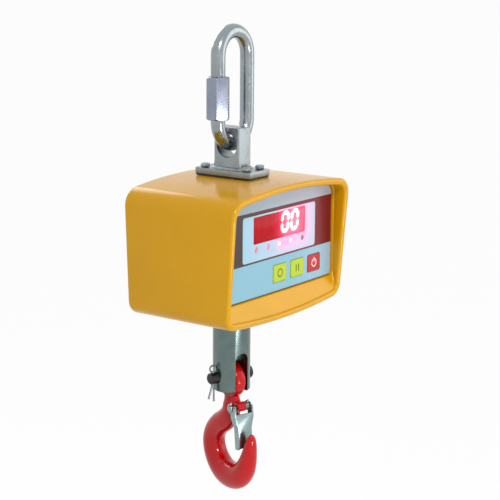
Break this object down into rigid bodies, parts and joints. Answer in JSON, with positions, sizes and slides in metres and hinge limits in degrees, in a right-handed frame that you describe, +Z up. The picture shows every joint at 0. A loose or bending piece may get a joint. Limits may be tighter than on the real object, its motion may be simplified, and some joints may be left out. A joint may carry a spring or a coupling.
{
  "type": "crane scale",
  "caption": "Hanging crane scale: yellow housing with a red digital display, quick link on top, swivelling slotted rod and red latched eye hook below.",
  "frame": {"origin": "where a crane's hook bears on the inside of the quick link's crown", "axes": "+Z up along the load line, the display faces -Y, +X is to the right of a person reading the display"},
  "size_m": [0.2068, 0.1401, 0.4984],
  "materials": {
    "zinc_plate": "zinc plated steel, satin",
    "bare_steel": "plain machined steel",
    "black_oxide": "blackened steel",
    "yellow_paint": "gloss yellow paint on cast aluminium",
    "red_paint": "gloss red paint on forged steel",
    "black_rubber": "matt",
    "overlay_print": "printed film, satin",
    "window_red": "smoked red acrylic",
    "led_glow": "lit red LED",
    "key_green": "printed film, satin",
    "key_red": "printed film, satin",
    "grey_plastic": "moulded, matt",
    "circuit_board": "green solder mask",
    "battery_case": "moulded case"
  },
  "bodies": {
    "link": {"link_body": "zinc_plate"},
    "sleeve_nut": {"link_sleeve_nut": "zinc_plate"},
    "housing": {"load_cell": "zinc_plate", "flange_plate": "zinc_plate", "flange_bolt_1": "zinc_plate", "flange_bolt_2": "zinc_plate", "flange_bolt_3": "zinc_plate", "flange_bolt_4": "zinc_plate", "rear_screw_1": "zinc_plate", "rear_screw_2": "zinc_plate", "rear_screw_3": "zinc_plate", "rear_screw_4": "zinc_plate", "gauge_sleeve": "bare_steel", "backing_plate": "bare_steel", "battery_tray": "bare_steel", "battery_strap": "bare_steel", "swivel_carrier": "bare_steel", "thrust_race_lower": "bare_steel", "thrust_ball_cage": "bare_steel", "housing_shell": "yellow_paint", "rear_cover": "yellow_paint", "flange_gasket": "black_rubber", "rod_seal": "black_rubber", "rear_gasket": "black_rubber", "panel_overlay": "overlay_print", "display_window": "window_red", "indicator_1": "led_glow", "indicator_2": "led_glow", "indicator_3": "led_glow", "indicator_4": "led_glow", "indicator_5": "led_glow", "digit_1": "led_glow", "digit_2": "led_glow", "digit_3": "led_glow", "digit_4": "led_glow", "digit_5": "led_glow", "panel_plate": "grey_plastic", "key_switch_1": "grey_plastic", "key_switch_2": "grey_plastic", "key_switch_3": "grey_plastic", "charging_socket": "grey_plastic", "display_board": "circuit_board", "main_board": "circuit_board", "battery": "battery_case"},
    "rod": {"thrust_race_upper": "bare_steel", "rod_nut": "zinc_plate", "nut_pin": "bare_steel", "hook_rod": "zinc_plate", "clevis_pin": "black_oxide", "split_pin": "zinc_plate"},
    "hook": {"hook": "red_paint", "latch_rivet": "zinc_plate", "latch_spring": "bare_steel"},
    "latch": {"latch": "zinc_plate"},
    "key_1": {"key_1": "key_green"},
    "key_2": {"key_2": "key_green"},
    "key_3": {"key_3": "key_red"},
    "socket_cap": {"socket_cap": "black_rubber"}
  },
  "joints": [
    {"name": "sleeve_travel", "type": "slide", "parent": "link", "child": "sleeve_nut", "axis": [0, 0, 1], "range_m": [0, 0.0195]},
    {"name": "link_swing", "type": "hinge", "parent": "link", "child": "housing", "pos_m": [0, 0, -0.1085], "axis": [1, 0, 0], "range_deg": [-90, 90]},
    {"name": "rod_swivel", "type": "hinge", "parent": "housing", "child": "rod", "pos_m": [0, 0, -0.2401], "axis": [0, 0, 1], "continuous": true},
    {"name": "hook_swing", "type": "hinge", "parent": "rod", "child": "hook", "pos_m": [0, 0, -0.3561], "axis": [0.9511, -0.309, 0], "range_deg": [-75, 75]},
    {"name": "latch_open", "type": "hinge", "parent": "hook", "child": "latch", "pos_m": [-0.00464, -0.01427, -0.3881], "axis": [0.9511, -0.309, 0], "range_deg": [0, 36], "stiffness_Nm_per_rad": 0.04, "springref_deg": -28.65},
    {"name": "key_1_press", "type": "slide", "parent": "housing", "child": "key_1", "axis": [0, 1, 0], "range_m": [0, 0.0008], "stiffness_N_per_m": 1500, "springref_m": -0.0004},
    {"name": "key_2_press", "type": "slide", "parent": "housing", "child": "key_2", "axis": [0, 1, 0], "range_m": [0, 0.0008], "stiffness_N_per_m": 1500, "springref_m": -0.0004},
    {"name": "key_3_press", "type": "slide", "parent": "housing", "child": "key_3", "axis": [0, 1, 0], "range_m": [0, 0.0008], "stiffness_N_per_m": 1500, "springref_m": -0.0004},
    {"name": "cap_pull", "type": "slide", "parent": "housing", "child": "socket_cap", "axis": [0, 0.9997, -0.0244], "range_m": [0, 0.008]}
  ]
}
